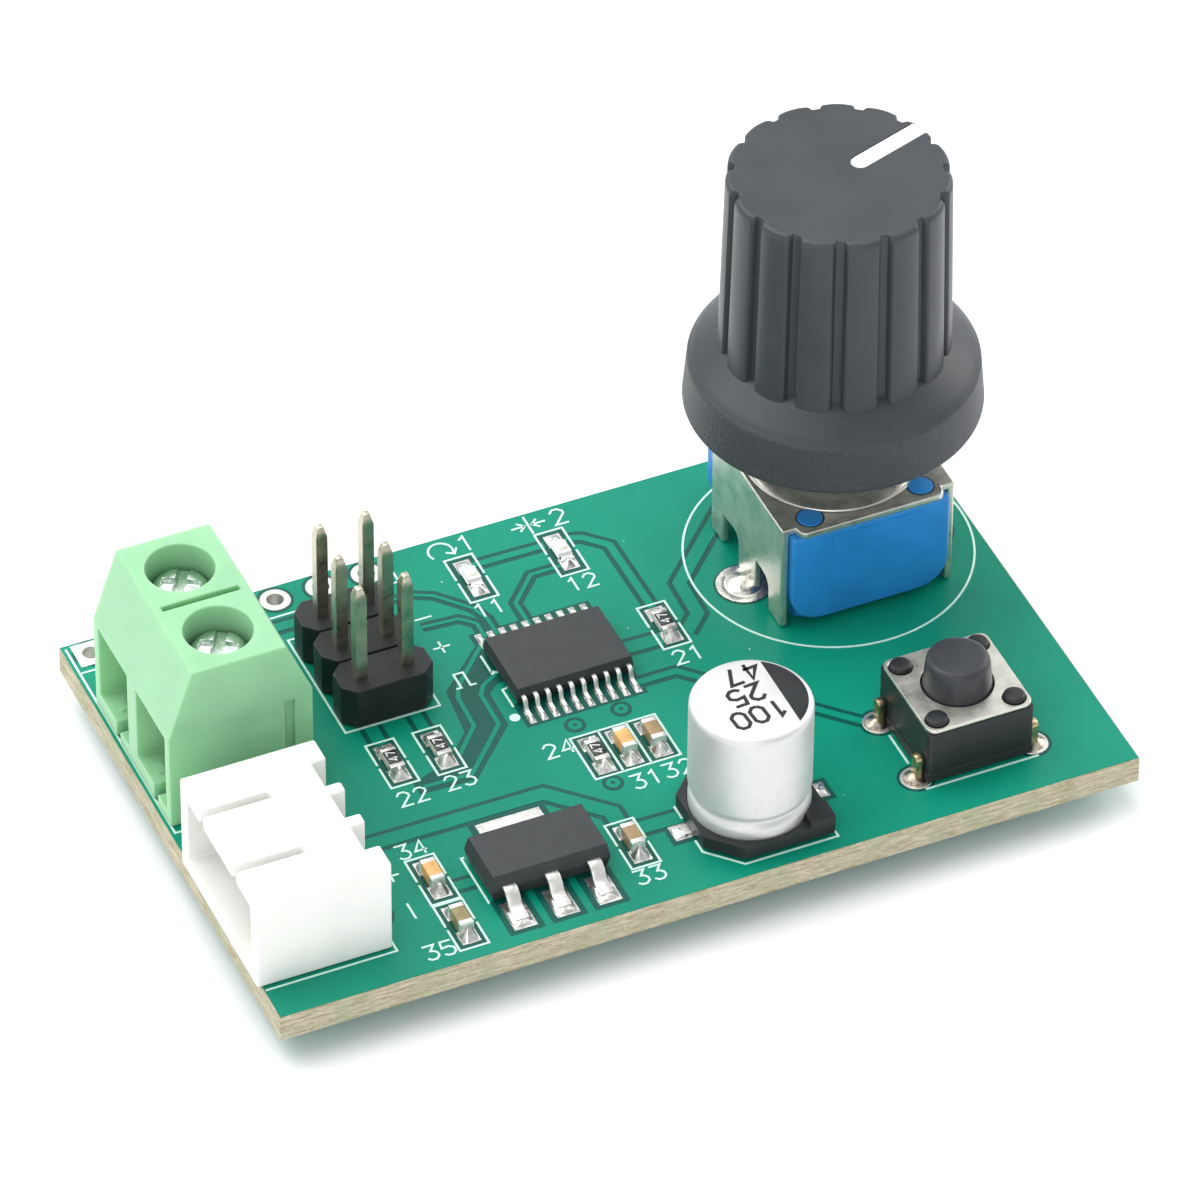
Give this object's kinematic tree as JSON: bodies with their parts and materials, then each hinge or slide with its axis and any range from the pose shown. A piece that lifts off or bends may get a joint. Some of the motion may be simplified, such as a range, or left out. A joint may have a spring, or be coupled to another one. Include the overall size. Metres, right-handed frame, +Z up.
{
  "type": "servo driver board",
  "caption": "Small servo driver board: green circuit board with screw terminal, white socket, pin header, control potentiometer with skirted knob, push button and surface-mounted parts.",
  "frame": {"origin": "centre of the board's underside", "axes": "+X along the board's long edge, away from the terminal and socket; +Y towards the edge with the row of spare holes; +Z up, out of the side that the parts stand on"},
  "size_m": [0.0472, 0.0296, 0.0283],
  "materials": {
    "green_mask": "satin solder mask over glass-epoxy laminate",
    "green_plastic": "light green moulded housing",
    "white_plastic": "natural white nylon",
    "black_plastic": "black moulding compound",
    "blue_plastic": "blue moulded body",
    "knob_plastic": "dark grey moulded knob",
    "pointer_white": "white index line",
    "nickel": "nickel-plated steel",
    "tin": "tinned leads and solder",
    "aluminium": "satin aluminium",
    "copper_alloy": "plated copper alloy",
    "carbon_track": "carbon film",
    "led_white": "translucent white lens",
    "resistor_black": "black film resistor",
    "ceramic_tan": "tan ceramic"
  },
  "bodies": {
    "board": {"circuit_board": "green_mask", "terminal_housing": "green_plastic", "socket_housing": "white_plastic", "header_base": "black_plastic", "driver_chip": "black_plastic", "voltage_regulator": "black_plastic", "capacitor_base": "black_plastic", "capacitor_can": "aluminium", "pot_frame": "nickel", "pot_body": "blue_plastic", "pot_track": "carbon_track", "switch_base": "black_plastic", "switch_cover": "nickel", "switch_dome": "tin", "terminal_pin_1": "tin", "capacitor_terminal_1": "tin", "led_1": "led_white", "terminal_pin_2": "tin", "capacitor_terminal_2": "tin", "led_2": "led_white", "socket_pin_1": "tin", "pot_pin_1": "tin", "socket_pin_2": "tin", "pot_pin_2": "tin", "socket_pin_3": "tin", "pot_pin_3": "tin", "header_pin_1": "tin", "header_pin_2": "tin", "header_pin_3": "tin", "header_pin_4": "tin", "header_pin_5": "tin", "header_pin_6": "tin", "switch_leg_1": "tin", "resistor_1": "resistor_black", "switch_leg_2": "tin", "resistor_2": "resistor_black", "switch_leg_3": "tin", "resistor_3": "resistor_black", "switch_leg_4": "tin", "resistor_4": "resistor_black", "ceramic_capacitor_1": "ceramic_tan", "ceramic_capacitor_2": "ceramic_tan", "ceramic_capacitor_3": "ceramic_tan", "ceramic_capacitor_4": "ceramic_tan", "ceramic_capacitor_5": "ceramic_tan"},
    "knob_and_shaft": {"knob": "knob_plastic", "knob_pointer": "pointer_white", "pot_shaft": "aluminium", "pot_rotor": "black_plastic", "pot_wiper": "nickel"},
    "push_button": {"switch_button": "black_plastic"},
    "screw_1": {"terminal_screw_1": "nickel"},
    "clamp_1": {"terminal_clamp_1": "copper_alloy"},
    "screw_2": {"terminal_screw_2": "nickel"},
    "clamp_2": {"terminal_clamp_2": "copper_alloy"}
  },
  "joints": [
    {"name": "knob_turn", "type": "hinge", "parent": "board", "child": "knob_and_shaft", "pos_m": [0.01575, 0.0059, 0.0121], "axis": [0, 0, 1], "range_deg": [-150, 150]},
    {"name": "button_press", "type": "slide", "parent": "board", "child": "push_button", "axis": [0, 0, -1], "range_m": [0, 0.00025], "stiffness_N_per_m": 4000, "deforming": ["switch_dome"]},
    {"name": "screw_1_turn", "type": "hinge", "parent": "board", "child": "screw_1", "pos_m": [-0.0195, 0.00252, 0.01065], "axis": [0, 0, 1], "range_deg": [-1080, 0]},
    {"name": "clamp_1_lift", "type": "slide", "parent": "board", "child": "clamp_1", "axis": [0, 0, 1], "range_m": [0, 0.0015]},
    {"name": "screw_2_turn", "type": "hinge", "parent": "board", "child": "screw_2", "pos_m": [-0.0195, 0.00758, 0.01065], "axis": [0, 0, 1], "range_deg": [-1080, 0]},
    {"name": "clamp_2_lift", "type": "slide", "parent": "board", "child": "clamp_2", "axis": [0, 0, 1], "range_m": [0, 0.0015]}
  ],
  "couplings": [
    {"joint": "screw_1_turn", "follows": "clamp_1_lift", "rad_per_m": -12566},
    {"joint": "screw_2_turn", "follows": "clamp_2_lift", "rad_per_m": -12566}
  ]
}
